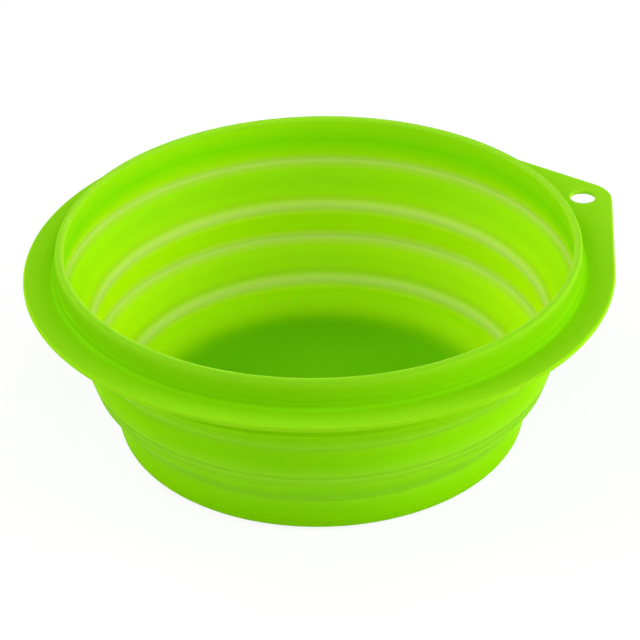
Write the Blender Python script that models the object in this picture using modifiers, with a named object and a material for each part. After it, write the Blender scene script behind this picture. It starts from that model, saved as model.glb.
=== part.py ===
"""Collapsible silicone bowl, open and standing on its base.

The bowl is one rubber moulding. Its stiff zones (rim, middle ring, base) are joined by two conical
bands that turn inside out, and each band hangs between two thin living hinges. Every zone is its own
object with a small gap to the next, because the zones move against each other as the bowl collapses.
Units are metres, +Z is up, the origin is the centre of the underside, and the hang tab points to +X.
"""

import math

import bmesh
import bpy
from mathutils import Vector

# Walls and living hinges
WALL = 0.0021
HINGE_THICKNESS = 0.0014
HINGE_LENGTH = 0.0020
HINGE_TAPER = 0.0018
GAP = 0.0003

# Heights of the zones, from the table up
BASE_HEIGHT = 0.0099
LOWER_BAND_HEIGHT = 0.0092
MIDDLE_RING_HEIGHT = 0.0096
UPPER_BAND_HEIGHT = 0.0098
COLLAR_HEIGHT = 0.0132

# Radius of the wall's centre line at the rim's fold, and how far each zone leans in towards the table
RIM_RADIUS = 0.0644
COLLAR_LEAN = -0.0010
UPPER_BAND_LEAN = 0.00715
MIDDLE_RING_LEAN = -0.0002
LOWER_BAND_LEAN = 0.00705
BASE_LEAN = 0.0004

# Lip, flange and hang tab: the flange's width counts from the wall's centre line at the rim's fold,
# and the hole's setback from the tab's tip to the hole's centre
LIP_HEIGHT = 0.0030
FLANGE_WIDTH = 0.0083
FLANGE_THICKNESS = 0.0013
FLANGE_RISE = 0.0046
FLANGE_FILLET = 0.0010
FLANGE_EDGE = 0.0004
TAB_HALF_ANGLE = math.radians(28.7)
TAB_CORNER_RADIUS = 0.0088
HANG_HOLE_RADIUS = 0.0031
HANG_HOLE_SETBACK = 0.00725

# Base cup
FOOT_RADIUS = 0.0032
FLOOR_THICKNESS = 0.0024
COVE_WIDTH = 0.0072
COVE_HEIGHT = 0.0044

# How far short of fully inside out each band stops
BAND_SPRINGBACK = 0.0005

# Facets of the turned shapes
TURN_STEPS = 64
ARC_STEPS = 4
TAPER_STEPS = 3
BEND_STEPS = 2
HOLE_STEPS = 24

# Which face of the wall a hinge is flush with: the face that closes on its neighbour when it folds
OUTSIDE = 1
INSIDE = -1

LIME = (133, 209, 6)
DEEP_LIME = (114, 203, 2)
PALE_LIME = (158, 205, 74)
SHADED_LIME = (104, 183, 2)


def fold_corners():
    """Corners of the wall's centre line in (radius, height), from the rim's fold down to the base's."""
    radius = RIM_RADIUS
    height = BASE_HEIGHT + LOWER_BAND_HEIGHT + MIDDLE_RING_HEIGHT + UPPER_BAND_HEIGHT
    corners = [Vector((radius, height))]
    for lean, drop in (
        (UPPER_BAND_LEAN, UPPER_BAND_HEIGHT),
        (MIDDLE_RING_LEAN, MIDDLE_RING_HEIGHT),
        (LOWER_BAND_LEAN, LOWER_BAND_HEIGHT),
    ):
        radius -= lean
        height -= drop
        corners.append(Vector((radius, height)))
    return corners


def outward_normal(top, bottom):
    """Unit normal of a wall's outer face, for a wall that runs from top down to bottom."""
    along = (bottom - top).normalized()
    return Vector((-along.y, along.x))


def arc(centre, radius, start_deg, end_deg, steps=ARC_STEPS):
    """Points of an arc in the (radius, height) plane, both ends included."""
    angles = [math.radians(start_deg + (end_deg - start_deg) * i / steps) for i in range(steps + 1)]
    return [centre + radius * Vector((math.cos(a), math.sin(a))) for a in angles]


def faces_at_fold(fold, far, flush):
    """Outer and inner face of a wall from its end at a fold up to full thickness, as two lists.

    The wall thins towards the fold on the face opposite to flush, down to the hinge's thickness.
    """
    length = (far - fold).length
    along = (far - fold) / length
    normal = outward_normal(fold, far) if far.y < fold.y else outward_normal(far, fold)
    start = HINGE_LENGTH / 2 + GAP
    flush_face = [fold + along * start + normal * flush * WALL / 2]
    tapered_face = []
    for i in range(TAPER_STEPS + 1):
        share = i / TAPER_STEPS
        thickness = HINGE_THICKNESS + (WALL - HINGE_THICKNESS) * math.sin(share * math.pi / 2) ** 2
        offset = flush * (WALL / 2 - thickness)
        tapered_face.append(fold + along * (start + share * HINGE_TAPER) + normal * offset)
    return (flush_face, tapered_face) if flush == OUTSIDE else (tapered_face, flush_face)


def wall_outline(top, bottom, top_flush, bottom_flush):
    """Closed outline of a straight wall between two folds, down its outer face and up its inner one."""
    top_outer, top_inner = faces_at_fold(top, bottom, top_flush)
    bottom_outer, bottom_inner = faces_at_fold(bottom, top, bottom_flush)
    return top_outer + bottom_outer[::-1] + bottom_inner + top_inner[::-1]


def offset_corner(above, corner, below, offset):
    """The corner of a wall's centre line moved square to both walls by offset, outwards if positive."""
    upper = outward_normal(above, corner)
    lower = outward_normal(corner, below)
    return corner + (upper + lower) * offset / (1 + upper.dot(lower))


def bend(above, corner, below, offset):
    """One face of a hinge, bent smoothly from the wall above round to the wall below."""
    upper = outward_normal(above, corner)
    lower = outward_normal(corner, below)
    start = corner + (above - corner).normalized() * HINGE_LENGTH / 2 + upper * offset
    end = corner + (below - corner).normalized() * HINGE_LENGTH / 2 + lower * offset
    middle = offset_corner(above, corner, below, offset)
    shares = [i / BEND_STEPS for i in range(BEND_STEPS + 1)]
    return [start * (1 - u) ** 2 + middle * 2 * u * (1 - u) + end * u**2 for u in shares]


def hinge_outline(above, corner, below, flush):
    """Closed outline of a living hinge, flush with one face of the walls that it joins."""
    flush_face = bend(above, corner, below, flush * WALL / 2)
    groove_face = bend(above, corner, below, flush * (WALL / 2 - HINGE_THICKNESS))
    if flush == OUTSIDE:
        return flush_face + groove_face[::-1]
    return groove_face + flush_face[::-1]


def rim_line(corners):
    """Centre line of the collar: its top at the middle of the lip's round, and the fold it ends in."""
    fold = corners[0]
    return Vector((RIM_RADIUS + COLLAR_LEAN, fold.y + COLLAR_HEIGHT - WALL / 2)), fold


def point_at_height(top, bottom, height, offset):
    """Point of a wall's face at a height, offset from the centre line."""
    share = (top.y - height) / (top.y - bottom.y)
    return top.lerp(bottom, share) + outward_normal(top, bottom) * offset


def lip_outline(corners):
    """Outline of the lip: a full round on top of the collar's wall."""
    top, fold = rim_line(corners)
    cut = top.y + WALL / 2 - LIP_HEIGHT
    half = WALL / 2
    round_over = arc(top, half, 180, 0, 2 * ARC_STEPS)
    return round_over + [point_at_height(top, fold, cut, half), point_at_height(top, fold, cut, -half)]


def flange_heights(corners):
    """Heights of the flange's underside and top face."""
    underside = corners[0].y + FLANGE_RISE
    return underside, underside + FLANGE_THICKNESS


def flange_root_radius(corners):
    """Radius of the collar where the flange grows out of it, at the ends of the fillets."""
    top, fold = rim_line(corners)
    underside, _ = flange_heights(corners)
    return point_at_height(top, fold, underside, WALL / 2).x + FLANGE_FILLET


def collar_outline(corners):
    """Outline of the collar: the wall under the lip, with the fillets that carry the flange."""
    top, fold = rim_line(corners)
    cut = top.y + WALL / 2 - LIP_HEIGHT - GAP
    half = WALL / 2
    underside, top_face = flange_heights(corners)
    root = flange_root_radius(corners)
    upper_fillet = arc(Vector((root, top_face + FLANGE_FILLET)), FLANGE_FILLET, 180, 270)
    lower_fillet = arc(Vector((root, underside - FLANGE_FILLET)), FLANGE_FILLET, 90, 180)
    fold_outer, fold_inner = faces_at_fold(fold, top, INSIDE)
    outer = [point_at_height(top, fold, cut, half)] + upper_fillet + lower_fillet
    inner = fold_inner + [point_at_height(top, fold, cut, -half)]
    return outer + fold_outer[::-1] + inner


def foot_point(corners):
    """Foot of the base wall's centre line, at the height of the underside."""
    return Vector((corners[3].x - BASE_LEAN, 0))


def floor_radius(corners):
    """Radius of the flat floor inside the base cup's cove."""
    return foot_point(corners).x - WALL / 2 - COVE_WIDTH


def cove_height():
    """Height of the cove over the floor, kept under the stretch where the wall thins to its hinge."""
    thinning = HINGE_LENGTH / 2 + GAP + HINGE_TAPER
    return min(COVE_HEIGHT, BASE_HEIGHT - thinning - FLOOR_THICKNESS)


def base_ring_outline(corners):
    """Outline of the base's wall, with its rounded foot outside and the floor's cove inside."""
    foot = foot_point(corners)
    fold_outer, fold_inner = faces_at_fold(corners[3], foot, OUTSIDE)
    outer_radius = foot.x + WALL / 2
    foot_arc = arc(Vector((outer_radius - FOOT_RADIUS, FOOT_RADIUS)), FOOT_RADIUS, 0, -90)
    edge = floor_radius(corners)
    cove = []
    for point in arc(Vector((0, 0)), 1, -90, 0):
        height = FLOOR_THICKNESS + cove_height() * (1 + point.y)
        cove.append(Vector((edge + COVE_WIDTH * point.x, height)))
    return fold_outer + foot_arc + [Vector((edge, 0))] + cove + fold_inner[::-1]


def floor_outline(corners):
    """Half outline of the floor disc, from the axis out along its top and back along its underside."""
    edge = floor_radius(corners) - GAP
    return [
        Vector((0, FLOOR_THICKNESS)),
        Vector((edge, FLOOR_THICKNESS)),
        Vector((edge, 0)),
        Vector((0, 0)),
    ]


def srgb_to_linear(channel):
    """Linear value of an 8-bit sRGB channel."""
    share = channel / 255
    return share / 12.92 if share <= 0.04045 else ((share + 0.055) / 1.055) ** 2.4


def silicone(name, colour):
    """Satin, slightly translucent silicone rubber."""
    material = bpy.data.materials.new(name)
    material.use_nodes = True
    shader = material.node_tree.nodes["Principled BSDF"]
    shader.inputs["Base Color"].default_value = (*map(srgb_to_linear, colour), 1)
    shader.inputs["Roughness"].default_value = 0.42
    shader.inputs["Metallic"].default_value = 0.0
    material.diffuse_color = shader.inputs["Base Color"].default_value
    return material


def height_of(carrier):
    """Height of a carrier above the table, or 0 with no carrier."""
    height = 0.0
    while carrier:
        height += carrier.location.z
        carrier = carrier.parent
    return height


def add_object(name, data, collection, carrier=None, height=0.0):
    """Object on the bowl's axis at a height above the table, carried by an empty."""
    obj = bpy.data.objects.new(name, data)
    collection.objects.link(obj)
    obj.parent = carrier
    obj.location.z = height - height_of(carrier)
    return obj


def turned(name, outline, colour, collection, carrier):
    """Turned solid: an outline in the XZ plane, swept once round the bowl's axis."""
    mesh = bpy.data.meshes.new(name)
    count = len(outline)
    closed = outline[0].x > 0
    edges = [(i, (i + 1) % count) for i in range(count if closed else count - 1)]
    mesh.from_pydata([(point.x, 0, point.y) for point in outline], edges, [])
    mesh.materials.append(silicone(name, colour))
    obj = add_object(name, mesh, collection, carrier)
    sweep = obj.modifiers.new("Sweep", "SCREW")
    sweep.axis = "Z"
    sweep.angle = math.tau
    sweep.steps = TURN_STEPS
    sweep.render_steps = TURN_STEPS
    sweep.use_merge_vertices = True
    sweep.merge_threshold = 0.00001
    sweep.use_smooth_shade = True
    return obj


def tab_corner_centre():
    """Centre of the tab's round corner, which lines tangential to the flange's circle run out to."""
    flange_radius = RIM_RADIUS + FLANGE_WIDTH
    return Vector(((flange_radius - TAB_CORNER_RADIUS) / math.cos(TAB_HALF_ANGLE), 0))


def flange_points():
    """Outline of the flange: a circle with a corner drawn out tangentially to +X."""
    half = math.degrees(TAB_HALF_ANGLE)
    steps = round(TURN_STEPS * (360 - 2 * half) / 360)
    round_the_bowl = arc(Vector((0, 0)), RIM_RADIUS + FLANGE_WIDTH, half, 360 - half, steps)
    return round_the_bowl + arc(tab_corner_centre(), TAB_CORNER_RADIUS, -half, half, 2 * ARC_STEPS)


def hang_hole_points():
    """Outline of the hang hole."""
    centre = tab_corner_centre() + Vector((TAB_CORNER_RADIUS - HANG_HOLE_SETBACK, 0))
    return arc(centre, HANG_HOLE_RADIUS, 0, -360, HOLE_STEPS)[:-1]


def add_outline(curve, points):
    """Closed polygon in a flat curve."""
    spline = curve.splines.new("POLY")
    spline.points.add(len(points) - 1)
    for place, point in zip(spline.points, points):
        place.co = (point.x, point.y, 0, 1)
    spline.use_cyclic_u = True


def mesh_from_curve(curve_object, name):
    """Mesh of a curve with its caps welded on. The curve is removed."""
    graph = bpy.context.evaluated_depsgraph_get()
    mesh = bpy.data.meshes.new_from_object(curve_object.evaluated_get(graph))
    mesh.name = name
    work = bmesh.new()
    work.from_mesh(mesh)
    bmesh.ops.remove_doubles(work, verts=work.verts, dist=0.000001)
    work.to_mesh(mesh)
    work.free()
    bpy.data.objects.remove(curve_object)
    return mesh


def flange(corners, collection, cutters, carrier):
    """Flat flange with its hang tab, round-edged, with an opening that fits round the collar's root."""
    name = "flange_with_hang_tab"
    middle = sum(flange_heights(corners)) / 2
    outline = bpy.data.curves.new(name, "CURVE")
    outline.dimensions = "2D"
    outline.fill_mode = "BOTH"
    outline.extrude = FLANGE_THICKNESS / 2 - FLANGE_EDGE
    outline.bevel_depth = FLANGE_EDGE
    outline.bevel_resolution = 1
    outline.offset = -FLANGE_EDGE
    add_outline(outline, flange_points())
    add_outline(outline, hang_hole_points())
    mesh = mesh_from_curve(add_object(name, outline, collection), name)
    mesh.materials.append(silicone(name, LIME))
    mesh.shade_smooth()
    mesh.set_sharp_from_angle(angle=math.radians(40))
    sheet = add_object(name, mesh, collection, carrier, middle)

    opening = bpy.data.meshes.new("collar_opening")
    work = bmesh.new()
    radius = flange_root_radius(corners) + GAP
    bmesh.ops.create_cone(
        work,
        cap_ends=True,
        segments=TURN_STEPS,
        radius1=radius,
        radius2=radius,
        depth=4 * FLANGE_THICKNESS,
    )
    work.to_mesh(opening)
    work.free()
    cutter = add_object("collar_opening", opening, cutters, carrier, middle)
    cutter.hide_render = True
    cutter.display_type = "WIRE"
    cut = sheet.modifiers.new("Collar opening", "BOOLEAN")
    cut.operation = "DIFFERENCE"
    cut.solver = "EXACT"
    cut.object = cutter


def add_carrier(name, height, travel, collection, carrier=None):
    """Empty on the bowl's axis that carries one stiff zone, free to slide down by its travel."""
    empty = add_object(name, None, collection, carrier, height)
    empty.empty_display_type = "SINGLE_ARROW"
    empty.empty_display_size = 0.02
    limit = empty.constraints.new("LIMIT_LOCATION")
    limit.owner_space = "LOCAL"
    limit.use_min_z = True
    limit.use_max_z = True
    limit.min_z = empty.location.z - travel
    limit.max_z = empty.location.z
    return empty


def build():
    """Model the bowl, zone by zone, from the rim down."""
    for obj in list(bpy.data.objects):
        bpy.data.objects.remove(obj)
    parts = bpy.data.collections.new("collapsible_bowl")
    cutters = bpy.data.collections.new("cutters")
    bpy.context.scene.collection.children.link(parts)
    bpy.context.scene.collection.children.link(cutters)

    corners = fold_corners()
    rim_fold, ring_top, ring_bottom, base_fold = corners
    lip, _ = rim_line(corners)
    foot = foot_point(corners)
    lower_travel = 2 * LOWER_BAND_HEIGHT - BAND_SPRINGBACK
    upper_travel = 2 * UPPER_BAND_HEIGHT - BAND_SPRINGBACK
    base = add_carrier("base_stand", 0, 0, parts)
    ring = add_carrier("middle_ring_slide", ring_bottom.y, lower_travel, parts, base)
    rim = add_carrier("rim_slide", rim_fold.y, upper_travel, parts, ring)

    rim_hinge = hinge_outline(lip, rim_fold, ring_top, INSIDE)
    ring_top_hinge = hinge_outline(rim_fold, ring_top, ring_bottom, OUTSIDE)
    ring_bottom_hinge = hinge_outline(ring_top, ring_bottom, base_fold, INSIDE)
    base_hinge = hinge_outline(ring_bottom, base_fold, foot, OUTSIDE)
    upper_band = wall_outline(rim_fold, ring_top, INSIDE, OUTSIDE)
    middle_ring = wall_outline(ring_top, ring_bottom, OUTSIDE, INSIDE)
    lower_band = wall_outline(ring_bottom, base_fold, INSIDE, OUTSIDE)
    for name, outline, colour, carrier in (
        ("rim_lip", lip_outline(corners), LIME, rim),
        ("rim_collar", collar_outline(corners), DEEP_LIME, rim),
        ("rim_fold_hinge", rim_hinge, PALE_LIME, rim),
        ("upper_folding_band", upper_band, LIME, ring),
        ("ring_upper_fold_hinge", ring_top_hinge, PALE_LIME, ring),
        ("middle_ring", middle_ring, DEEP_LIME, ring),
        ("ring_lower_fold_hinge", ring_bottom_hinge, PALE_LIME, ring),
        ("lower_folding_band", lower_band, LIME, base),
        ("base_fold_hinge", base_hinge, PALE_LIME, base),
        ("base_ring", base_ring_outline(corners), DEEP_LIME, base),
        ("base_floor", floor_outline(corners), SHADED_LIME, base),
    ):
        turned(name, outline, colour, parts, carrier)
    flange(corners, parts, cutters, rim)


build()
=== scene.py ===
"""Looks of a collapsible silicone travel bowl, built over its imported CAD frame.

The bowl is one soft moulding: a base cup, two conical bands that turn inside out, a stiff middle ring
between them, and a rim with a flange and a hang tab. Its wall is drawn as one path from the foot up to
the lip, and every turned piece is a stretch of that path, so thickness, folds and colour run on from
piece to piece. Lengths are in metres and angles in degrees, +Z is up and the hang tab points to +X.
"""

import logging
import math
from collections.abc import Sequence
from dataclasses import dataclass, field
from enum import Enum
from itertools import accumulate

import bmesh
import bpy
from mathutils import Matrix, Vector
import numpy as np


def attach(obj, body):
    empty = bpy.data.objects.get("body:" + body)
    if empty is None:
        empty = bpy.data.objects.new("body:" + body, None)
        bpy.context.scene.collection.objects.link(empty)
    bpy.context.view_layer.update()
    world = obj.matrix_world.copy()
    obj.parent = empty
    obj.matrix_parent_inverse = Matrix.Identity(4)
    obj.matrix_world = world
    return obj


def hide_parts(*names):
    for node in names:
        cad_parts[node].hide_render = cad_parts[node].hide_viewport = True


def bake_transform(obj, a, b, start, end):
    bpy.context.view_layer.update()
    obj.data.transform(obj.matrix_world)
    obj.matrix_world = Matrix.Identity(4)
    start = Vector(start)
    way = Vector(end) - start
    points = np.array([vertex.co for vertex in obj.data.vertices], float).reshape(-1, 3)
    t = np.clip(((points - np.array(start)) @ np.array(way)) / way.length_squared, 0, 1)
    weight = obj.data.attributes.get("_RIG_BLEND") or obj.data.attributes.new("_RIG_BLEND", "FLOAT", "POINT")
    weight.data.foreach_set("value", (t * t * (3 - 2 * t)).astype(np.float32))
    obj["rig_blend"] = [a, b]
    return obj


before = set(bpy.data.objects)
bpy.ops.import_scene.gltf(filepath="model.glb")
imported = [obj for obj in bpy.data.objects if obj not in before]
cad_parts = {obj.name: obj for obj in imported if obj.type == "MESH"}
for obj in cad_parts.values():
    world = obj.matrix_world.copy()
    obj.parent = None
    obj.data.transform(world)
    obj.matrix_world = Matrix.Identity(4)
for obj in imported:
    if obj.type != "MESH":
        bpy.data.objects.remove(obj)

log = logging.getLogger("bowl")

Colour = tuple[float, float, float]
Paint = Colour | bpy.types.NodeSocket

UV_NAME = "around_and_along"
THICKNESS_GROUP = "wall_thickness"

# Limits for a sharp edge, for the same point, for the same level and for an upright face's normal
SHARP_ANGLE = math.radians(50)
SAME_POINT = 1e-7
HAIR = 1e-6
UPRIGHT = 0.9


class Side(Enum):
    """The two faces of the wall, with the sign of the way each one looks."""

    OUTSIDE = 1
    INSIDE = -1


@dataclass(frozen=True)
class Fold:
    """A living hinge: where the wall bends, the face its thin web is flush with, and the web's thickness."""

    radius: float
    height: float
    flush: Side
    web: float = 0.0014

    @property
    def place(self) -> Vector:
        """Corner of the centre line in (radius, height)."""
        return Vector((self.radius, self.height))


@dataclass(frozen=True)
class Profile:
    """One point of a turned outline, with where it lies along the wall and which face it is on."""

    place: Vector
    along: float
    side: Side = Side.OUTSIDE
    thickness: float = 1.0


@dataclass(frozen=True)
class WallPath:
    """The bowl's wall from the foot up to the lip's centre, in (radius, height)."""

    wall: float = 0.0021
    hinge: float = 0.0020
    taper: float = 0.0018
    seam: float = 0.0003
    lip_height: float = 0.0030
    lead: float = 0.00003
    fine_step: float = 0.0002
    coarse_step: float = 0.0006
    foot: Vector = field(default_factory=lambda: Vector((0.0500, 0.0)))
    base_fold: Fold = Fold(0.0504, 0.0099, Side.OUTSIDE, web=0.00195)
    lower_ring_fold: Fold = Fold(0.05745, 0.0191, Side.INSIDE)
    upper_ring_fold: Fold = Fold(0.05725, 0.0287, Side.OUTSIDE, web=0.00195)
    rim_fold: Fold = Fold(0.0644, 0.0385, Side.INSIDE)
    lip: Vector = field(default_factory=lambda: Vector((0.0634, 0.05065)))

    @property
    def folds(self) -> tuple[Fold, ...]:
        """The four living hinges from the base up."""
        return self.base_fold, self.lower_ring_fold, self.upper_ring_fold, self.rim_fold

    @property
    def corners(self) -> list[Vector]:
        """Corners of the centre line from the foot up."""
        return [self.foot, *(fold.place for fold in self.folds), self.lip]

    @property
    def marks(self) -> list[float]:
        """Length along the path of each corner, from 0 at the foot up."""
        legs = ((above - below).length for below, above in zip(self.corners, self.corners[1:]))
        return list(accumulate(legs, initial=0.0))

    @property
    def end(self) -> float:
        """Length along the path of the lip's centre."""
        return self.marks[-1]

    @property
    def lip_seam(self) -> float:
        """Length along the path where the lip sits on the collar."""
        return self.end - self.lip_height + self.wall / 2

    @property
    def reach(self) -> float:
        """Distance from a fold's corner to the end of its hinge piece."""
        return self.hinge / 2 + self.seam / 2

    def mark(self, fold: Fold) -> float:
        """Length along the path of a fold."""
        return self.marks[1 + self.folds.index(fold)]

    def straight(self, along: float) -> tuple[Vector, Vector]:
        """Point and unit direction on the straight centre line, before the folds are rounded.

        Args:
            along: Length along the path.

        Returns:
            The point, and the direction of the stretch that it is on.
        """
        marks, corners = self.marks, self.corners
        leg = max(i for i in range(len(marks) - 1) if i == 0 or along >= marks[i])
        direction = (corners[leg + 1] - corners[leg]).normalized()
        return corners[leg] + direction * (along - marks[leg]), direction

    def centre(self, along: float) -> tuple[Vector, Vector]:
        """Point and outward normal of the centre line, rounded at the folds.

        Args:
            along: Length along the path.

        Returns:
            The point, and the unit normal that looks out of the bowl.
        """
        point, direction = self.straight(along)
        fold, distance = self.nearest_fold(along)
        half = self.hinge / 2
        if distance < half:
            mark = self.mark(fold)
            start, finish = self.straight(mark - half)[0], self.straight(mark + half)[0]
            u = (along - mark + half) / self.hinge
            point = start * (1 - u) ** 2 + fold.place * 2 * u * (1 - u) + finish * u**2
            direction = ((fold.place - start) * (1 - u) + (finish - fold.place) * u).normalized()
        return point, Vector((direction.y, -direction.x))

    def nearest_fold(self, along: float) -> tuple[Fold, float]:
        """The fold nearest to a length along the path, and how far away it is."""
        distances = [(fold, abs(along - self.mark(fold))) for fold in self.folds]
        return min(distances, key=lambda pair: pair[1])

    def thickness(self, along: float) -> float:
        """Wall thickness, which thins to the web over the taper at each fold.

        Args:
            along: Length along the path.

        Returns:
            The thickness.
        """
        fold, distance = self.nearest_fold(along)
        share = min(max((distance - self.hinge / 2) / self.taper, 0.0), 1.0)
        return fold.web + (self.wall - fold.web) * math.sin(share * math.pi / 2) ** 2

    def middle(self, along: float) -> Profile:
        """Middle of the wall as moulded, which moves to the flush face where the wall is thin.

        Args:
            along: Length along the path.

        Returns:
            The point, with its share of the full thickness.
        """
        point, normal = self.centre(along)
        fold, _ = self.nearest_fold(along)
        thickness = self.thickness(along)
        shift = fold.flush.value * (self.wall - thickness) / 2
        return Profile(point + normal * shift, along, thickness=thickness / self.wall)

    def face(self, along: float, side: Side) -> Profile:
        """Point of one face of the wall.

        Args:
            along: Length along the path.
            side: The face.

        Returns:
            The point.
        """
        _, normal = self.centre(along)
        place = self.middle(along).place + normal * side.value * self.thickness(along) / 2
        return Profile(place, along, side)

    def faces(self, places: Sequence[float], side: Side) -> list[Profile]:
        """Points of one face of the wall at several lengths along the path."""
        return [self.face(along, side) for along in places]

    def stations(self, start: float, finish: float) -> list[float]:
        """Lengths along the path to draw a stretch with, close together where the wall bends or thins.

        The first and last steps are very short, so that the shading at a stretch's end runs on in the next.

        Args:
            start: Length along the path of the stretch's lower end.
            finish: Length of its upper end.

        Returns:
            Lengths in rising order, both ends included.
        """
        places = [start, start + self.lead]
        while places[-1] < finish - self.lead - self.fine_step / 2:
            _, distance = self.nearest_fold(places[-1])
            near = distance < self.hinge / 2 + self.taper + self.fine_step
            places.append(places[-1] + (self.fine_step if near else self.coarse_step))
        return places[:-1] + [finish - self.lead, finish]


PATH = WallPath()


@dataclass(frozen=True)
class Lathe:
    """Turns outlines round the bowl's axis."""

    steps: int = 256

    def spin(self, work: bmesh.types.BMesh, outline: Sequence[Profile], closed: bool) -> None:
        """Sweep an outline once round the axis, with its lengths and thicknesses carried along.

        Args:
            work: Empty bmesh to fill.
            outline: Points in the XZ plane.
            closed: True if the last point joins the first one.
        """
        along = work.verts.layers.float.new("along")
        inner = work.verts.layers.float.new("inner")
        weights = work.verts.layers.deform.verify()
        for point in outline:
            vertex = work.verts.new((point.place.x, 0, point.place.y))
            vertex[along] = point.along
            vertex[inner] = 1.0 if point.side is Side.INSIDE else 0.0
            vertex[weights][0] = point.thickness
        vertices = list(work.verts)
        pairs = list(zip(vertices, vertices[1:]))
        if closed:
            pairs.append((vertices[-1], vertices[0]))
        edges = [work.edges.new(pair) for pair in pairs]
        turn = {"cent": (0, 0, 0), "axis": (0, 0, 1), "angle": math.tau, "steps": self.steps}
        bmesh.ops.spin(work, geom=vertices + edges, **turn, use_merge=True, use_duplicate=False)
        bmesh.ops.remove_doubles(work, verts=work.verts, dist=SAME_POINT)

    def unwrap(self, work: bmesh.types.BMesh) -> None:
        """Give each corner its share of a turn round the axis and its length along the wall.

        Args:
            work: Bmesh whose vertices know their length along the wall.
        """
        uv = work.loops.layers.uv.new(UV_NAME)
        along = work.verts.layers.float["along"]
        for face in work.faces:
            home = face.calc_center_median()
            home_turn = math.atan2(home.y, home.x) / math.tau
            for loop in face.loops:
                place = loop.vert.co
                turn = math.atan2(place.y, place.x) / math.tau if place.xy.length > HAIR else home_turn
                turn += round(home_turn - turn)
                loop[uv].uv = (turn, loop.vert[along])

    def sheet(self, name: str, outline: Sequence[Profile]) -> bpy.types.Mesh:
        """Middle surface of a stretch of wall, looking outwards, to be thickened.

        Args:
            name: Name of the mesh.
            outline: Points from the lower end to the upper end.

        Returns:
            The mesh, with its open ends marked sharp.
        """
        work = bmesh.new()
        self.spin(work, outline, closed=False)
        bmesh.ops.recalc_face_normals(work, faces=work.faces)
        work.faces.ensure_lookup_table()
        first = work.faces[0]
        if first.normal.xy.dot(first.calc_center_median().xy) < 0:
            bmesh.ops.reverse_faces(work, faces=work.faces)
        self.unwrap(work)
        for edge in work.edges:
            edge.smooth = not edge.is_boundary
        return finished_mesh(name, work)

    def solid(self, name: str, outline: Sequence[Profile], open_axis: bool = False) -> bpy.types.Mesh:
        """Closed turned solid whose inner faces take the second material.

        Args:
            name: Name of the mesh.
            outline: Points round the section.
            open_axis: True if the outline starts and ends on the axis.

        Returns:
            The mesh.
        """
        work = bmesh.new()
        self.spin(work, outline, closed=not open_axis)
        bmesh.ops.recalc_face_normals(work, faces=work.faces)
        self.unwrap(work)
        inner = work.verts.layers.float["inner"]
        for face in work.faces:
            face.material_index = round(sum(vertex[inner] for vertex in face.verts) / len(face.verts))
        mesh = finished_mesh(name, work)
        mesh.set_sharp_from_angle(angle=SHARP_ANGLE)
        return mesh


def finished_mesh(name: str, work: bmesh.types.BMesh) -> bpy.types.Mesh:
    """Smooth-shaded mesh from a bmesh, which is freed.

    Args:
        name: Name of the mesh.
        work: The bmesh.

    Returns:
        The mesh.
    """
    for face in work.faces:
        face.smooth = True
    mesh = bpy.data.meshes.new(name)
    work.to_mesh(mesh)
    work.free()
    return mesh


def arc(centre: Vector, radius: float, start: float, finish: float, steps: int) -> list[Vector]:
    """Points of an arc in a plane, angles in degrees, both ends included."""
    angles = [math.radians(start + (finish - start) * i / steps) for i in range(steps + 1)]
    return [centre + radius * Vector((math.cos(a), math.sin(a))) for a in angles]


def placed(name: str, mesh: bpy.types.Mesh) -> bpy.types.Object:
    """Object at the origin for a mesh, in the scene.

    Args:
        name: Name of the object.
        mesh: Its mesh.

    Returns:
        The object.
    """
    thing = bpy.data.objects.new(name, mesh)
    bpy.context.scene.collection.objects.link(thing)
    return thing


class Number:
    """A number that varies over a surface. Arithmetic on it adds Math nodes."""

    def __init__(self, graph: "Graph", socket: bpy.types.NodeSocket) -> None:
        """Wrap a socket of a graph."""
        self.graph = graph
        self.socket = socket

    def math(self, operation: str, *others: "Number | float", clamp: bool = False) -> "Number":
        """Result of a Math node whose first value is this one.

        Args:
            operation: The node's operation.
            *others: Its other values.
            clamp: True to keep the result between 0 and 1.

        Returns:
            The result.
        """
        settings = {"operation": operation, "use_clamp": clamp}
        return self.graph.number(self.graph.add("ShaderNodeMath", settings, dict(enumerate((self, *others)))))

    def __add__(self, other: "Number | float") -> "Number":
        """This plus another."""
        return self.math("ADD", other)

    __radd__ = __add__

    def __mul__(self, other: "Number | float") -> "Number":
        """This times another."""
        return self.math("MULTIPLY", other)

    __rmul__ = __mul__

    def __sub__(self, other: "Number | float") -> "Number":
        """This less another."""
        return self.math("SUBTRACT", other)

    def __rsub__(self, other: "Number | float") -> "Number":
        """Another less this."""
        node = self.graph.add("ShaderNodeMath", {"operation": "SUBTRACT"}, {0: other, 1: self})
        return self.graph.number(node)

    def __truediv__(self, other: "Number | float") -> "Number":
        """This over another."""
        return self.math("DIVIDE", other)

    def __abs__(self) -> "Number":
        """This without its sign."""
        return self.math("ABSOLUTE")

    def clamped(self) -> "Number":
        """This kept between 0 and 1."""
        return self.math("ADD", 0.0, clamp=True)

    def bell(self, middle: float, width: float) -> "Number":
        """A soft line: 1 where this is at the middle, a half at half the width to either side."""
        offset = (self - middle) * (2 * math.sqrt(math.log(2)) / width)
        return (offset * offset * -1.0).math("EXPONENT")

    def step(self, start: float, finish: float) -> "Number":
        """A smooth rise from 0 to 1.

        Args:
            start: Where it leaves 0.
            finish: Where it reaches 1.

        Returns:
            The result.
        """
        settings = {"interpolation_type": "SMOOTHSTEP"}
        node = self.graph.add("ShaderNodeMapRange", settings, {0: self, 1: start, 2: finish, 3: 0.0, 4: 1.0})
        return self.graph.number(node)


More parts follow.
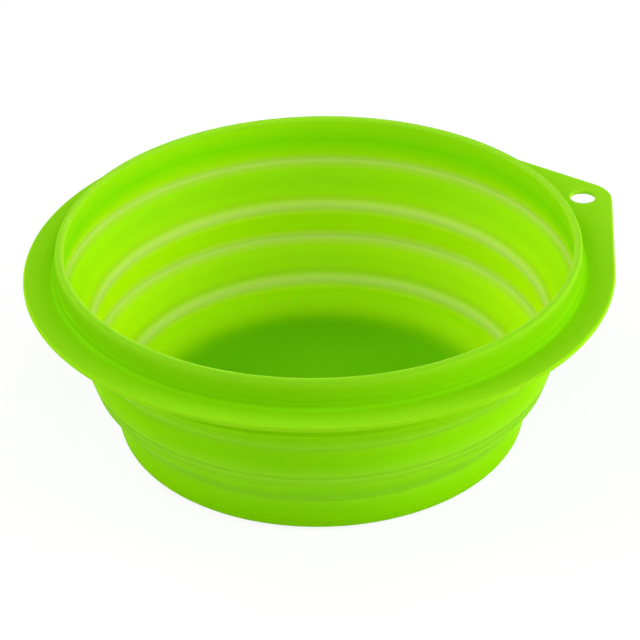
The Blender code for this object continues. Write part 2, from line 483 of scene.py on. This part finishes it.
class Graph:
    """A node tree that is emptied and then built up by calls."""

    def __init__(self, owner: bpy.types.Material | bpy.types.World) -> None:
        """Take over the node tree of a material or world.

        Args:
            owner: The material or world.
        """
        owner.use_nodes = True
        self.tree = owner.node_tree
        self.tree.nodes.clear()

    def add(self, kind: str, settings: dict | None = None, inputs: dict | None = None) -> bpy.types.Node:
        """Add a node: its settings first, then the values or links of its sockets.

        Args:
            kind: Type of the node.
            settings: Its properties by name, with a ramp's stops as pairs of a place and a colour.
            inputs: Its sockets by name or number, each with a value, a Number or an output socket.

        Returns:
            The node.
        """
        node = self.tree.nodes.new(kind)
        for name, value in (settings or {}).items():
            if name == "stops":
                self.set_stops(node.color_ramp, value)
            else:
                setattr(node, name, value)
        for name, value in (inputs or {}).items():
            socket = node.inputs[name]
            if isinstance(value, Number):
                self.tree.links.new(value.socket, socket)
            elif isinstance(value, bpy.types.NodeSocket):
                self.tree.links.new(value, socket)
            else:
                socket.default_value = value
        return node

    def set_stops(self, ramp: bpy.types.ColorRamp, stops: Sequence[tuple[float, Colour]]) -> None:
        """Give a ramp its stops, in rising order.

        Args:
            ramp: Ramp of a new node, which has two stops.
            stops: Pairs of a place from 0 to 1 and a colour.
        """
        while len(ramp.elements) < len(stops):
            ramp.elements.new(1.0)
        for element, (place, colour) in zip(ramp.elements, stops):
            element.position = place
            element.color = opaque(colour)

    def number(self, node: bpy.types.Node, output: int | str = 0) -> Number:
        """One output of a node, as a number."""
        return Number(self, node.outputs[output])

    def mix(self, share: Number | float, first: Paint, second: Paint) -> bpy.types.NodeSocket:
        """Colour between two colours, with the share of the second."""
        inputs = {0: share, 6: opaque(first), 7: opaque(second)}
        return self.add("ShaderNodeMix", {"data_type": "RGBA"}, inputs).outputs[2]

    def scaled(self, colour: bpy.types.NodeSocket, share: Number) -> bpy.types.NodeSocket:
        """A colour made lighter or darker by a number."""
        node = self.add("ShaderNodeVectorMath", {"operation": "SCALE"}, {0: colour, "Scale": share})
        return node.outputs[0]

    def blended(self, share: Number, first: bpy.types.Node, second: bpy.types.Node) -> bpy.types.Node:
        """Mix of two shaders, with the share of the second."""
        return self.add("ShaderNodeMixShader", inputs={0: share, 1: first.outputs[0], 2: second.outputs[0]})


def opaque(colour: Paint) -> Paint | tuple[float, float, float, float]:
    """A colour with its fourth number, and a socket as it is."""
    return (*colour, 1.0) if isinstance(colour, tuple) else colour


class Tint(Enum):
    """Colours painted along a line round the bowl, which stand in for light and shade."""

    # Pale glow on a fold: painted light through the thin web, with a painted sheen
    CREASE_GLOW = (0.45, 0.63, 0.10)
    LIT_THROUGH = (0.60, 0.76, 0.003)
    # Painted shade on the side of a fold that is turned away from the light
    TURNED_AWAY_SHADE = (0.24, 0.46, 0.003)
    SHADED = (0.12, 0.42, 0.002)


@dataclass(frozen=True)
class Line:
    """A soft line round the bowl: its length along the wall, its width, how strong and what colour."""

    along: float
    width: float
    strength: float
    tint: Tint = Tint.CREASE_GLOW


FOLD_1, FOLD_2, FOLD_3, FOLD_4 = (PATH.mark(fold) for fold in reversed(PATH.folds))

# Lengths that stand for places off the wall's path, below the foot and past the lip
UNDERSIDE_MARK = -0.0060
COVE_MARK = -0.0035
FLANGE_TOP_MARK = 0.0800
FLANGE_EDGE_MARK = 0.0895
FLANGE_UNDERSIDE_MARK = 0.0940
HOLE_WALL_MARK = 0.0990

# Where one piece ends and the next begins: each fold stands for both ends of its hinge
FLANGE_SEAM = 0.0484
SEAMS = (COVE_MARK, FOLD_4, FOLD_3, FOLD_2, FOLD_1, FLANGE_SEAM, PATH.lip_seam, FLANGE_TOP_MARK)


@dataclass(frozen=True)
class Silicone:
    """Satin lime silicone, rougher where folding stretches it, with painted light and shade in its colour.

    Depth and glow are for light under the surface. Cloud and grain are two sizes of unevenness.
    """

    tones: tuple[tuple[float, Colour], ...]
    lines: tuple[Line, ...]
    specular: float
    roughness: float = 0.42
    depth: float = 0.00045
    glow: Colour = (0.6, 1.0, 0.2)
    cloud_scale: float = 55.0
    cloud_detail: float = 2.0
    cloud_tone: float = 0.03
    cloud_roughness: float = 0.10
    cloud_relief: float = 2.0
    grain_scale: float = 1500.0
    grain_detail: float = 3.0
    relief: float = 0.00003
    relief_strength: float = 0.25
    stretch_width: float = 0.003
    stretch_roughness: float = 0.08
    seam_core: float = 0.0016
    seam_reach: float = 0.0028
    pattern_radius: float = 0.058

    def material(self, name: str) -> bpy.types.Material:
        """Material for the faces of one side of the wall.

        Args:
            name: Name of the material.

        Returns:
            The material.
        """
        material = bpy.data.materials.new(name)
        graph = Graph(material)
        uv = graph.add("ShaderNodeUVMap", {"uv_map": UV_NAME})
        split = graph.add("ShaderNodeSeparateXYZ", inputs={0: uv.outputs[0]})
        turn, along = graph.number(split, "X"), graph.number(split, "Y")
        cloud = self.noise(graph, turn, along, self.cloud_scale, self.cloud_detail)
        grain = self.noise(graph, turn, along, self.grain_scale, self.grain_detail)
        uneven = cloud - 0.5
        roughness = self.roughness + uneven * self.cloud_roughness
        height = grain + cloud * self.cloud_relief
        bump = {"Strength": self.relief_strength, "Distance": self.relief, "Height": height}
        skin = {
            "Base Color": graph.scaled(self.colour(graph, along), 1.0 + uneven * self.cloud_tone),
            "Roughness": (roughness + self.stretched(along) * self.stretch_roughness).clamped(),
            "Normal": graph.add("ShaderNodeBump", inputs=bump).outputs[0],
            "Specular IOR Level": self.specular,
        }
        below = {"Subsurface Weight": 1.0, "Subsurface Radius": self.glow, "Subsurface Scale": self.depth}
        soft = graph.add("ShaderNodeBsdfPrincipled", inputs=skin | below)
        firm = graph.add("ShaderNodeBsdfPrincipled", inputs=skin)
        shader = graph.blended(self.near_seam(along), soft, firm)
        graph.add("ShaderNodeOutputMaterial", inputs={"Surface": shader.outputs[0]})
        material.diffuse_color = opaque(self.tones[len(self.tones) // 2][1])
        return material

    def colour(self, graph: Graph, along: Number) -> bpy.types.NodeSocket:
        """Colour by length along the wall: a ramp of tones with the soft lines over it, both with painted
        light and shade.

        Args:
            graph: Graph to add to.
            along: Length along the wall.

        Returns:
            The colour's socket.
        """
        low, high = self.tones[0][0], self.tones[-1][0]
        stops = [((place - low) / (high - low), colour) for place, colour in self.tones]
        ramp = graph.add("ShaderNodeValToRGB", {"stops": stops}, {0: (along - low) / (high - low)})
        colour = ramp.outputs[0]
        for line in self.lines:
            share = along.bell(line.along, line.width) * line.strength
            colour = graph.mix(share, colour, line.tint.value)
        return colour

    def noise(self, graph: Graph, turn: Number, along: Number, scale: float, detail: float) -> Number:
        """Noise that runs on round the bowl and from piece to piece.

        Args:
            graph: Graph to add to.
            turn: Share of a turn round the axis.
            along: Length along the wall.
            scale: Noise cells to a metre.
            detail: Finer layers of the noise.

        Returns:
            The noise, between 0 and 1.
        """
        angle = turn * math.tau
        x, y = (angle.math(operation) * self.pattern_radius for operation in ("COSINE", "SINE"))
        place = graph.add("ShaderNodeCombineXYZ", inputs={0: x, 1: y, 2: along})
        inputs = {"Vector": place.outputs[0], "Scale": scale, "Detail": detail}
        return graph.number(graph.add("ShaderNodeTexNoise", inputs=inputs))

    def near_seam(self, along: Number) -> Number:
        """How near the end of a piece is, where light under the surface would be lost in the joint.

        Args:
            along: Length along the wall.

        Returns:
            1 near the ends of pieces and 0 elsewhere.
        """
        clear = [abs(along - seam).step(self.seam_core, self.seam_reach) for seam in SEAMS]
        return 1.0 - math.prod(clear[1:], start=clear[0])

    def stretched(self, along: Number) -> Number:
        """How stretched the wall is: a soft line on every fold."""
        lines = [along.bell(PATH.mark(fold), self.stretch_width) for fold in PATH.folds]
        return sum(lines[1:], start=lines[0]).clamped()


# Painted glow on each fold inside, with painted light through the wall on one side and painted shade on the
# other
INSIDE_LINES = (
    Line(FOLD_1 + 0.0022, 0.0022, 0.25, Tint.LIT_THROUGH),
    Line(FOLD_1 - 0.0010, 0.0020, 0.50, Tint.TURNED_AWAY_SHADE),
    Line(FOLD_1 + 0.0002, 0.0023, 0.93),
    Line(FOLD_2 - 0.0018, 0.0020, 0.15, Tint.LIT_THROUGH),
    Line(FOLD_2 + 0.0014, 0.0022, 0.45, Tint.TURNED_AWAY_SHADE),
    Line(FOLD_2 - 0.0001, 0.0020, 0.95),
    Line(FOLD_3 + 0.0016, 0.0022, 0.30, Tint.LIT_THROUGH),
    Line(FOLD_3 - 0.0012, 0.0020, 0.35, Tint.TURNED_AWAY_SHADE),
    Line(FOLD_3 + 0.0001, 0.0024, 0.97),
    Line(FOLD_4 - 0.0016, 0.0022, 0.22, Tint.LIT_THROUGH),
    Line(FOLD_4 + 0.0018, 0.0022, 0.45, Tint.TURNED_AWAY_SHADE),
    Line(FOLD_4 + 0.0001, 0.0021, 0.92),
)

# Faint painted glow on the folds outside, and a thin line of painted shade above each of the two lower folds
OUTSIDE_LINES = (
    Line(FOLD_2 + 0.0020, 0.0044, 0.12),
    Line(FOLD_3 + 0.0008, 0.0050, 0.14),
    Line(FOLD_4 + 0.0016, 0.0050, 0.11),
    Line(FOLD_3 + 0.0011, 0.0007, 0.40, Tint.SHADED),
    Line(FOLD_4 + 0.0031, 0.0007, 0.30, Tint.SHADED),
)


@dataclass(frozen=True)
class Palette:
    """Colours of the bowl's two faces: a tone for each zone along the wall, with painted light and shade in
    it.
    """

    inside: Silicone = Silicone(
        # Inside tones mix the silicone's own tone with painted light and shade, lighter or darker zone by
        # zone
        tones=(
            # Floor and cove darker: partly thicker silicone, partly painted shade
            (UNDERSIDE_MARK, (0.12, 0.42, 0.001)),
            (-0.0025, (0.17, 0.47, 0.001)),
            (0.0012, (0.31, 0.62, 0.001)),
            (0.0068, (0.40, 0.76, 0.001)),
            (0.0150, (0.35, 0.68, 0.001)),
            (0.0262, (0.44, 0.77, 0.001)),
            (0.0370, (0.29, 0.64, 0.001)),
            (0.0460, (0.35, 0.73, 0.001)),
            (0.0500, (0.24, 0.69, 0.001)),
            (0.0550, (0.34, 0.74, 0.003)),
            # Lip crown inside: darker painted shade, with a faint painted highlight
            (0.0568, (0.25, 0.55, 0.020)),
            (0.0580, (0.23, 0.52, 0.020)),
        ),
        lines=INSIDE_LINES,
        specular=0.010,
    )
    outside: Silicone = Silicone(
        # Outside tones mix the silicone's own tone with painted light and shade, zone by zone
        tones=(
            (0.0020, (0.19, 0.51, 0.001)),
            (0.0085, (0.21, 0.58, 0.001)),
            (0.0135, (0.16, 0.51, 0.001)),
            (0.0205, (0.20, 0.55, 0.001)),
            (0.0290, (0.22, 0.60, 0.001)),
            (0.0360, (0.17, 0.51, 0.001)),
            (0.0392, (0.17, 0.50, 0.001)),
            # Lighter just under the flange: painted light over the flange's shadow
            (0.0420, (0.22, 0.60, 0.001)),
            (0.0475, (0.16, 0.51, 0.001)),
            (0.0505, (0.19, 0.56, 0.001)),
            (0.0535, (0.18, 0.52, 0.001)),
            # Lip crown outside: a painted highlight haze in the tone
            (0.0556, (0.22, 0.54, 0.008)),
            (0.0575, (0.18, 0.47, 0.010)),
            # Flange: painted shade by the collar, and a paler edge with a painted highlight
            (FLANGE_TOP_MARK, (0.18, 0.51, 0.001)),
            (0.0885, (0.22, 0.53, 0.008)),
            (FLANGE_EDGE_MARK, (0.24, 0.55, 0.006)),
            (0.0930, (0.20, 0.52, 0.001)),
            # Hang hole's wall: paler, painted light through the thin sheet
            (0.0980, (0.28, 0.58, 0.015)),
        ),
        lines=OUTSIDE_LINES,
        specular=0.003,
    )


class Dresser:
    """Makes each silicone material once and puts the pair on a piece."""

    def __init__(self, palette: Palette) -> None:
        """Make the materials of both faces."""
        self.pair = (palette.outside.material("silicone_outside"), palette.inside.material("silicone_inside"))

    def dress(self, thing: bpy.types.Object) -> None:
        """Put the outside material first and the inside one second."""
        for material in self.pair:
            thing.data.materials.append(material)


@dataclass(frozen=True)
class Motion:
    """What carries a piece: one body, or the two bodies that it bends between from fold to fold."""

    lower: str
    upper: str | None = None
    folds: tuple[Fold, ...] = ()

    def apply(self, thing: bpy.types.Object) -> None:
        """Tie a piece to its bodies.

        Args:
            thing: The piece.
        """
        if self.upper is None:
            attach(thing, self.lower)
            return
        start, finish = self.folds
        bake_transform(thing, self.lower, self.upper, start=(0, 0, start.height), end=(0, 0, finish.height))


@dataclass
class SubAssembly:
    """Shared work of the bowl's sub-assemblies."""

    dresser: Dresser
    lathe: Lathe = Lathe()

    def register(self, thing: bpy.types.Object, motion: Motion, node: str, slot: str) -> None:
        """Tie a piece to the frame and report it.

        Args:
            thing: The piece.
            motion: What carries it.
            node: CAD node that it stands for.
            slot: Not used.
        """
        motion.apply(thing)
        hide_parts(node)
        log.info("%s: %d faces, stands for %s", thing.name, len(thing.data.polygons), node)

    def turned(self, name: str, outline: Sequence[Profile], open_axis: bool = False) -> bpy.types.Object:
        """A dressed solid, turned from its section.

        Args:
            name: Name of the piece.
            outline: Points round the section.
            open_axis: True if the outline starts and ends on the axis.

        Returns:
            The piece.
        """
        thing = placed(name, self.lathe.solid(name, outline, open_axis))
        self.dresser.dress(thing)
        return thing

    def stretch(self, name: str, start: float, finish: float) -> bpy.types.Object:
        """A stretch of wall between two lengths along the path, thickened from its middle surface.

        Args:
            name: Name of the piece.
            start: Length along the path of its lower end.
            finish: Length of its upper end.

        Returns:
            The piece.
        """
        outline = [PATH.middle(along) for along in PATH.stations(start, finish)]
        thing = placed(name, self.lathe.sheet(name, outline))
        thing.vertex_groups.new(name=THICKNESS_GROUP)
        self.dresser.dress(thing)
        wall = thing.modifiers.new("Wall", "SOLIDIFY")
        wall.thickness = PATH.wall
        wall.offset = 0.0
        wall.vertex_group = THICKNESS_GROUP
        wall.thickness_vertex_group = 0.0
        wall.material_offset = 1
        return thing


@dataclass
class BaseCup(SubAssembly):
    """Floor and stiff base wall, with a rounded foot outside and a cove inside."""

    foot_radius: float = 0.0032
    foot_gap: float = 0.0003
    foot_steps: int = 12
    floor: float = 0.0024
    cove_width: float = 0.0072
    cove_height: float = 0.0044
    cove_steps: int = 20
    floor_rings: tuple[float, ...] = (1.0, 0.9, 0.7, 0.45, 0.2, 0.0)

    @property
    def edge(self) -> float:
        """Radius of the flat floor inside the cove."""
        return PATH.foot.x - PATH.wall / 2 - self.cove_width

    def build(self) -> None:
        """Model the cup's two pieces."""
        motion = Motion("base")
        self.register(self.base_wall(), motion, "base_ring", "base_cup")
        self.register(self.floor_disc(), motion, "base_floor", "base_cup")

    def base_wall(self) -> bpy.types.Object:
        """Base wall with foot and cove.

        Returns:
            The piece.
        """
        top = PATH.mark(PATH.base_fold) - PATH.reach
        outer = PATH.faces(PATH.stations(self.foot_radius + self.foot_gap, top), Side.OUTSIDE)[::-1]
        inner = PATH.faces(PATH.stations(self.floor + self.cove_height, top), Side.INSIDE)
        under = [Profile(Vector((self.edge, 0)), UNDERSIDE_MARK)]
        return self.turned("base_wall", outer + self.foot() + under + self.cove(inner[0]) + inner[1:])

    def foot(self) -> list[Profile]:
        """Quarter round from the base wall's outer face down to the table.

        Returns:
            Points from the wall down to the underside.
        """
        centre = Vector((PATH.foot.x + PATH.wall / 2 - self.foot_radius, self.foot_radius))
        points = arc(centre, self.foot_radius, 0, -90, self.foot_steps)
        step = self.foot_radius * math.pi / 2 / self.foot_steps
        return [Profile(point, self.foot_radius - (i + 1) * step) for i, point in enumerate(points)]

    def cove(self, finish: Profile) -> list[Profile]:
        """Quarter oval from the floor up to the wall, tangent to both.

        Args:
            finish: Point of the wall's inner face where the cove ends.

        Returns:
            Points from the floor up to that one.
        """
        start = Vector((self.edge, self.floor))
        _, direction = PATH.straight(finish.along)
        corner = finish.place - direction * ((finish.place.y - self.floor) / direction.y)
        pull = math.sqrt(0.5)
        points = []
        for i in range(self.cove_steps + 1):
            u = i / self.cove_steps
            shares = ((1 - u) ** 2, 2 * pull * u * (1 - u), u**2)
            place = (start * shares[0] + corner * shares[1] + finish.place * shares[2]) / sum(shares)
            points.append(Profile(place, COVE_MARK + u * (finish.along - COVE_MARK), Side.INSIDE))
        return points

    def floor_disc(self) -> bpy.types.Object:
        """Flat floor inside the cove.

        Returns:
            The piece.
        """
        radii = [self.edge * share for share in self.floor_rings]
        top = [Profile(Vector((r, self.floor)), COVE_MARK - self.edge + r, Side.INSIDE) for r in radii[::-1]]
        under = [Profile(Vector((r, 0)), UNDERSIDE_MARK - self.edge + r) for r in radii]
        return self.turned("floor_disc", top + under, open_axis=True)


@dataclass(frozen=True)
class BandPlan:
    """A folding band: its name and CAD node, its bodies and folds, and its two hinges."""

    name: str
    node: str
    motion: Motion
    hinge_names: tuple[str, str]
    hinge_nodes: tuple[str, str]


LOWER_BAND = BandPlan(
    name="lower_band",
    node="lower_folding_band",
    motion=Motion("base", "ring", (PATH.base_fold, PATH.lower_ring_fold)),
    hinge_names=("base_fold", "lower_ring_fold"),
    hinge_nodes=("base_fold_hinge", "ring_lower_fold_hinge"),
)
UPPER_BAND = BandPlan(
    name="upper_band",
    node="upper_folding_band",
    motion=Motion("ring", "rim", (PATH.upper_ring_fold, PATH.rim_fold)),
    hinge_names=("upper_ring_fold", "rim_fold"),
    hinge_nodes=("ring_upper_fold_hinge", "rim_fold_hinge"),
)


@dataclass
class FoldingBand(SubAssembly):
    """A conical band with the living hinges at its two edges, which turns inside out."""

    plan: BandPlan = LOWER_BAND

    def build(self) -> None:
        """Model the two hinges and the band between them."""
        plan = self.plan
        marks = [PATH.mark(fold) for fold in plan.motion.folds]
        for mark, name, node in zip(marks, plan.hinge_names, plan.hinge_nodes):
            hinge = self.stretch(name, mark - PATH.reach, mark + PATH.reach)
            self.register(hinge, plan.motion, node, "fold_hinges")
        band = self.stretch(plan.name, marks[0] + PATH.reach, marks[1] - PATH.reach)
        self.register(band, plan.motion, plan.node, "folding_bands")


@dataclass
class MiddleRing(SubAssembly):
    """Stiff ring between the two folding bands."""

    def build(self) -> None:
        """Model the ring."""
        start = PATH.mark(PATH.lower_ring_fold) + PATH.reach
        finish = PATH.mark(PATH.upper_ring_fold) - PATH.reach
        self.register(self.stretch("ring_wall", start, finish), Motion("ring"), "middle_ring", "middle_ring")


@dataclass
class Rim(SubAssembly):
    """Collar with its round lip, and the flange with the hang tab.

    Clearance is kept between the wall's own points and those of an arc.
    """

    flange_radius: float = 0.0727
    flange_underside: float = 0.0431
    flange_thickness: float = 0.0013
    flange_edge: float = 0.0006
    edge_steps: int = 6
    fillet: float = 0.0010
    fillet_steps: int = 10
    clearance: float = 0.0001
    tab_half_angle: float = 28.7
    tab_corner: float = 0.0088
    tab_steps: int = 24
    hole_setback: float = 0.00725
    hole_radius: float = 0.0031
    hole_steps: int = 64
    hole_margin: float = 1.3
    crown_steps: int = 16

    @property
    def flange_top(self) -> float:
        """Height of the flange's top face."""
        return self.flange_underside + self.flange_thickness

    @property
    def root(self) -> float:
        """Radius where the flange's fillets end, off the collar's outer face."""
        along = PATH.end - (PATH.lip.y - self.flange_underside) / PATH.straight(PATH.end)[1].y
        return PATH.face(along, Side.OUTSIDE).place.x + self.fillet

    @property
    def tab_centre(self) -> Vector:
        """Centre of the tab's round corner, from above."""
        away = self.flange_radius - self.tab_corner
        return Vector((away / math.cos(math.radians(self.tab_half_angle)), 0))

    @property
    def hole_centre(self) -> Vector:
        """Centre of the hang hole, from above."""
        return self.tab_centre + Vector((self.tab_corner - self.hole_setback, 0))

    def build(self) -> None:
        """Model the rim's three pieces."""
        motion = Motion("rim")
        self.register(self.collar(), motion, "rim_collar", "rim_collar")
        self.register(self.lip(), motion, "rim_lip", "rim_lip")
        self.register(self.flange(), motion, "flange_with_hang_tab", "flange_with_hang_tab")

    def lip(self) -> bpy.types.Object:
        """Full round on top of the collar.

        Returns:
            The piece.
        """
        half = PATH.wall / 2
        places = PATH.stations(PATH.lip_seam, PATH.end - self.clearance)
        crown = []
        for i, point in enumerate(arc(PATH.lip, half, 0, 180, self.crown_steps)):
            rise = half * math.radians(90 - abs(90 - 180 * i / self.crown_steps))
            side = Side.OUTSIDE if i < self.crown_steps / 2 else Side.INSIDE
            crown.append(Profile(point, PATH.end + rise, side))
        outline = PATH.faces(places, Side.OUTSIDE) + crown + PATH.faces(places, Side.INSIDE)[::-1]
        return self.turned("lip_round", outline)

    def collar(self) -> bpy.types.Object:
        """Upright wall with the fillets that carry the flange.

        Returns:
            The piece.
        """
        places = PATH.stations(PATH.mark(PATH.rim_fold) + PATH.reach, PATH.lip_seam)
        outer = PATH.faces(places, Side.OUTSIDE)
        low_centre = Vector((self.root, self.flange_underside - self.fillet))
        high_centre = Vector((self.root, self.flange_top + self.fillet))
        low = [point for point in outer if point.place.y < low_centre.y - self.clearance]
        high = [point for point in outer if point.place.y > high_centre.y + self.clearance]
        middle = (low[-1].along + high[0].along) / 2
        fillets = arc(low_centre, self.fillet, 180, 90, self.fillet_steps)
        fillets += arc(high_centre, self.fillet, 270, 180, self.fillet_steps)
        outline = low + [Profile(point, middle) for point in fillets] + high
        return self.turned("collar_wall", outline + PATH.faces(places, Side.INSIDE)[::-1])

    def flange(self) -> bpy.types.Object:
        """Flat sheet round the collar, drawn out tangentially to a hang tab with a hole.

        Returns:
            The piece.
        """
        work = bmesh.new()
        work.verts.layers.float.new("along")
        self.raise_sheet(work)
        self.round_edges(work)
        along = work.verts.layers.float["along"]
        for vertex in work.verts:
            vertex[along] = self.flange_along(vertex.co)
        self.lathe.unwrap(work)
        self.mark_hole_wall(work)
        thing = placed("flange_sheet", finished_mesh("flange_sheet", work))
        thing.data.set_sharp_from_angle(angle=SHARP_ANGLE)
        self.dresser.dress(thing)
        normals = thing.modifiers.new("Flat faces stay flat", "WEIGHTED_NORMAL")
        normals.keep_sharp = True
        return thing

    def loops(self) -> list[list[Vector]]:
        """The sheet's three closed outlines from above: its edge with the tab, its root and the hang hole.

        Returns:
            The outlines, each without a repeated last point.
        """
        half = self.tab_half_angle
        steps = self.lathe.steps
        axis = Vector((0, 0))
        edge = arc(axis, self.flange_radius, half, 360 - half, round(steps * (180 - half) / 180))
        edge += arc(self.tab_centre, self.tab_corner, -half, half, self.tab_steps)
        root = arc(axis, self.root, 0, 360, steps)[:-1]
        hole = arc(self.hole_centre, self.hole_radius, 0, 360, self.hole_steps)[:-1]
        return [edge, root, hole]

    def raise_sheet(self, work: bmesh.types.BMesh) -> None:
        """Fill the sheet between its outlines and give it its thickness.

        Args:
            work: Empty bmesh to fill.
        """
        edges = []
        for points in self.loops():
            vertices = [work.verts.new((point.x, point.y, self.flange_underside)) for point in points]
            edges += [work.edges.new(pair) for pair in zip(vertices, vertices[1:] + vertices[:1])]
        filled = bmesh.ops.triangle_fill(work, use_beauty=True, edges=edges)
        faces = [item for item in filled["geom"] if isinstance(item, bmesh.types.BMFace)]
        raised = bmesh.ops.extrude_face_region(work, geom=faces)
        top = [item for item in raised["geom"] if isinstance(item, bmesh.types.BMVert)]
        bmesh.ops.translate(work, vec=(0, 0, self.flange_thickness), verts=top)
        bmesh.ops.recalc_face_normals(work, faces=work.faces)

    def round_edges(self, work: bmesh.types.BMesh) -> None:
        """Round the sheet's outer edges and the hole's, but not those at its root.

        Args:
            work: The sheet.
        """
        rims = []
        for edge in work.edges:
            away = min(vertex.co.xy.length for vertex in edge.verts)
            if edge.calc_face_angle(0) > SHARP_ANGLE and away > self.root + self.fillet / 2:
                rims.append(edge)
        shape = {"offset": self.flange_edge, "segments": self.edge_steps, "profile": 0.5}
        bmesh.ops.bevel(work, geom=rims, **shape, affect="EDGES", material=-1)

    def flange_along(self, place: Vector) -> float:
        """Length that stands for a point of the flange: across its top, down its edge, back below.

        Args:
            place: The point.

        Returns:
            The length.
        """
        if place.z > self.flange_top - HAIR:
            return FLANGE_TOP_MARK + min(place.xy.length, self.flange_radius) - self.root
        return FLANGE_EDGE_MARK if place.z > self.flange_underside + HAIR else FLANGE_UNDERSIDE_MARK

    def mark_hole_wall(self, work: bmesh.types.BMesh) -> None:
        """Give the hang hole's wall a length of its own, past the flange's, for its paler tone of painted
        light.

        Args:
            work: The unwrapped sheet.
        """
        uv = work.loops.layers.uv[UV_NAME]
        centre, near = self.hole_centre, self.hole_radius * self.hole_margin
        for face in work.faces:
            if abs(face.normal.z) < UPRIGHT and (face.calc_center_median().xy - centre).length < near:
                for loop in face.loops:
                    loop[uv].uv.y = HOLE_WALL_MARK


@dataclass(frozen=True)
class SoftBox:
    """A square lamp that faces the bowl, placed by its bearing and height as seen from the camera."""

    name: str
    bearing: float
    height: float
    power: float
    distance: float = 0.9
    size: float = 0.5


@dataclass(frozen=True)
class Studio:
    """White table and backdrop, soft lamps and the camera."""

    camera_place: tuple[float, float, float] = (-0.26617, -0.57600, 0.42117)
    camera_turn: tuple[float, float, float] = (58.2193, 0.9108, -25.3643)
    lens: float = 168.75
    sensor: float = 36.0
    table_reach: float = 3.0
    table_drop: float = 0.0002
    table_white: Colour = (0.9, 0.9, 0.9)
    shadow: float = 0.12
    shadow_reach: float = 0.30
    sky: float = 0.0
    aim: Vector = field(default_factory=lambda: Vector((0, 0, 0.02)))
    lamps: tuple[SoftBox, ...] = (
        SoftBox("front_box", 0, 45, 3.7),
        SoftBox("front_right_box", 40, 35, 1.3),
        SoftBox("low_right_box", 80, 10, 3.6),
        SoftBox("right_box", 80, 30, 3.1),
        SoftBox("left_box", -80, 30, 4.1),
        SoftBox("back_left_box", -130, 40, 3.2),
        SoftBox("back_right_box", 130, 40, 2.0),
        SoftBox("top_box", 0, 89, 0.8),
    )

    def build(self) -> None:
        """Set up everything that isn't the bowl."""
        self.add_camera()
        self.add_table()
        self.add_sky()
        for lamp in self.lamps:
            self.add_lamp(lamp)
        bpy.context.scene.view_settings.view_transform = "Standard"

    def add_camera(self) -> None:
        """Camera at the photograph's viewing angle."""
        data = bpy.data.cameras.new("camera")
        data.lens = self.lens
        data.sensor_width = self.sensor
        camera = bpy.data.objects.new("camera", data)
        camera.location = self.camera_place
        camera.rotation_euler = [math.radians(angle) for angle in self.camera_turn]
        bpy.context.scene.collection.objects.link(camera)
        bpy.context.scene.camera = camera

    def seen_white(self, graph: Graph, share: Number | float) -> Number:
        """How much of plain white a ray meets: the share for what is seen, and none for light.

        Args:
            graph: Graph to add to.
            share: How much of it is seen.

        Returns:
            The share for each ray.
        """
        path = graph.add("ShaderNodeLightPath")
        seen = graph.number(path, "Is Camera Ray")
        for name in ("Is Glossy Ray", "Is Transmission Ray"):
            seen = seen.math("MAXIMUM", graph.number(path, name))
        return seen * share

    def add_table(self) -> None:
        """White table top that keeps a soft shadow."""
        work = bmesh.new()
        bmesh.ops.create_grid(work, x_segments=1, y_segments=1, size=self.table_reach)
        bmesh.ops.translate(work, vec=(0, 0, -self.table_drop), verts=work.verts)
        mesh = bpy.data.meshes.new("table_top")
        work.to_mesh(mesh)
        work.free()
        mesh.materials.append(self.white_table())
        placed("table_top", mesh)

    def white_table(self) -> bpy.types.Material:
        """Matt white that is seen as plain white, but for the shadow near the bowl.

        Returns:
            The material.
        """
        material = bpy.data.materials.new("white_table")
        graph = Graph(material)
        matt = graph.add("ShaderNodeBsdfDiffuse", inputs={"Color": opaque(self.table_white)})
        white = graph.add("ShaderNodeEmission", inputs={"Color": (1.0, 1.0, 1.0, 1.0), "Strength": 1.0})
        place = graph.add("ShaderNodeTexCoord").outputs["Object"]
        away = graph.add("ShaderNodeVectorMath", {"operation": "LENGTH"}, {0: place})
        far = graph.number(away, "Value").step(self.shadow_reach / 2, self.shadow_reach)
        share = self.seen_white(graph, 1.0 - self.shadow * (1.0 - far))
        surface = graph.blended(share, matt, white)
        graph.add("ShaderNodeOutputMaterial", inputs={"Surface": surface.outputs[0]})
        return material

    def add_sky(self) -> None:
        """White surroundings, which are seen but give only the sky's own light."""
        world = bpy.data.worlds.new("white_room")
        bpy.context.scene.world = world
        graph = Graph(world)
        light = graph.add("ShaderNodeBackground", inputs={"Color": (1, 1, 1, 1), "Strength": self.sky})
        white = graph.add("ShaderNodeBackground", inputs={"Color": (1, 1, 1, 1), "Strength": 1.0})
        surface = graph.blended(self.seen_white(graph, 1.0), light, white)
        graph.add("ShaderNodeOutputWorld", inputs={"Surface": surface.outputs[0]})

    def add_lamp(self, box: SoftBox) -> None:
        """Soft box that faces the bowl.

        Args:
            box: Its name, place and power.
        """
        bearing = math.radians(self.camera_turn[2] + box.bearing)
        height = math.radians(box.height)
        level = Vector((math.sin(bearing), -math.cos(bearing), 0)) * math.cos(height)
        data = bpy.data.lights.new(box.name, "AREA")
        data.size = box.size
        data.energy = box.power
        lamp = bpy.data.objects.new(box.name, data)
        lamp.location = self.aim + (level + Vector((0, 0, math.sin(height)))) * box.distance
        lamp.rotation_euler = (self.aim - lamp.location).to_track_quat("-Z", "Y").to_euler()
        bpy.context.scene.collection.objects.link(lamp)


def main() -> None:
    """Build the studio and the bowl, from the base up."""
    logging.basicConfig(level=logging.INFO, format="%(message)s")
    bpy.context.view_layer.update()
    Studio().build()
    dresser = Dresser(Palette())
    BaseCup(dresser).build()
    FoldingBand(dresser, plan=LOWER_BAND).build()
    MiddleRing(dresser).build()
    FoldingBand(dresser, plan=UPPER_BAND).build()
    Rim(dresser).build()


if __name__ == "__main__":
    main()
